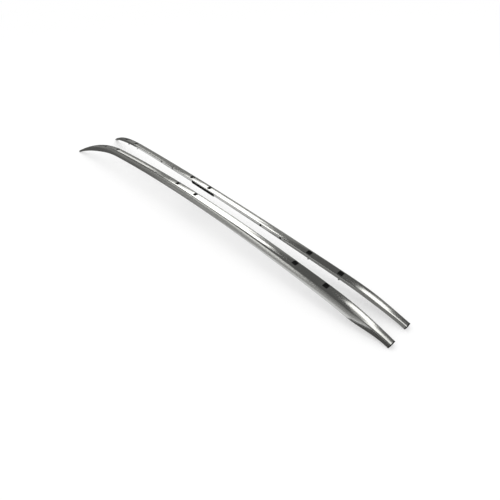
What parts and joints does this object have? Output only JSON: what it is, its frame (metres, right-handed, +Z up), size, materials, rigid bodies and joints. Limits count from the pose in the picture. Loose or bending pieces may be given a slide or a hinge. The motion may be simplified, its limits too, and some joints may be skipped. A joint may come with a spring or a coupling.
{
  "type": "pair of roof rails",
  "caption": "Handed pair of long arched aluminium roof rails with tapered noses bent down and outwards, square top plugs and threaded side inserts, screwed to a car roof.",
  "frame": {"origin": "on the floor in the middle of the pair, which stands on its rear end caps and nose tips", "axes": "+X towards the noses (front of the car), +Y towards the left rail, +Z up"},
  "size_m": [2.0186, 0.2484, 0.1232],
  "materials": {
    "bright_rail": "polished, with fine lines along its length",
    "black_plastic": "moulded, fine satin grain",
    "black_rubber": "matt moulded rubber",
    "zinc_steel": "bright zinc plated",
    "dark_steel": "black passivated"
  },
  "bodies": {
    "root": {"left_rail": "bright_rail", "left_end_cap": "black_plastic", "left_gasket": "black_rubber", "left_rear_plug_1": "black_plastic", "left_rear_plug_2": "black_plastic", "left_middle_plug_1": "black_plastic", "left_middle_plug_2": "black_plastic", "left_front_plug_1": "black_plastic", "left_front_plug_2": "black_plastic", "left_rear_screw_1": "zinc_steel", "left_rear_screw_2": "zinc_steel", "left_middle_screw_1": "zinc_steel", "left_middle_screw_2": "zinc_steel", "left_front_screw_1": "zinc_steel", "left_front_screw_2": "zinc_steel", "left_rear_washer_1": "black_rubber", "left_rear_washer_2": "black_rubber", "left_middle_washer_2": "black_rubber", "left_front_washer_1": "black_rubber", "left_front_washer_2": "black_rubber", "left_rear_insert_1": "dark_steel", "left_rear_insert_2": "dark_steel", "left_front_insert_1": "dark_steel", "left_front_insert_2": "dark_steel", "right_rail": "bright_rail", "right_end_cap": "black_plastic", "right_gasket": "black_rubber", "right_rear_plug_1": "black_plastic", "right_rear_plug_2": "black_plastic", "right_middle_plug_1": "black_plastic", "right_middle_plug_2": "black_plastic", "right_front_plug_1": "black_plastic", "right_front_plug_2": "black_plastic", "right_rear_screw_1": "zinc_steel", "right_rear_screw_2": "zinc_steel", "right_middle_screw_1": "zinc_steel", "right_middle_screw_2": "zinc_steel", "right_front_screw_1": "zinc_steel", "right_front_screw_2": "zinc_steel", "right_rear_washer_1": "black_rubber", "right_rear_washer_2": "black_rubber", "right_middle_washer_2": "black_rubber", "right_front_washer_1": "black_rubber", "right_front_washer_2": "black_rubber", "right_rear_insert_1": "dark_steel", "right_rear_insert_2": "dark_steel", "right_front_insert_1": "dark_steel", "right_front_insert_2": "dark_steel"}
  },
  "joints": []
}
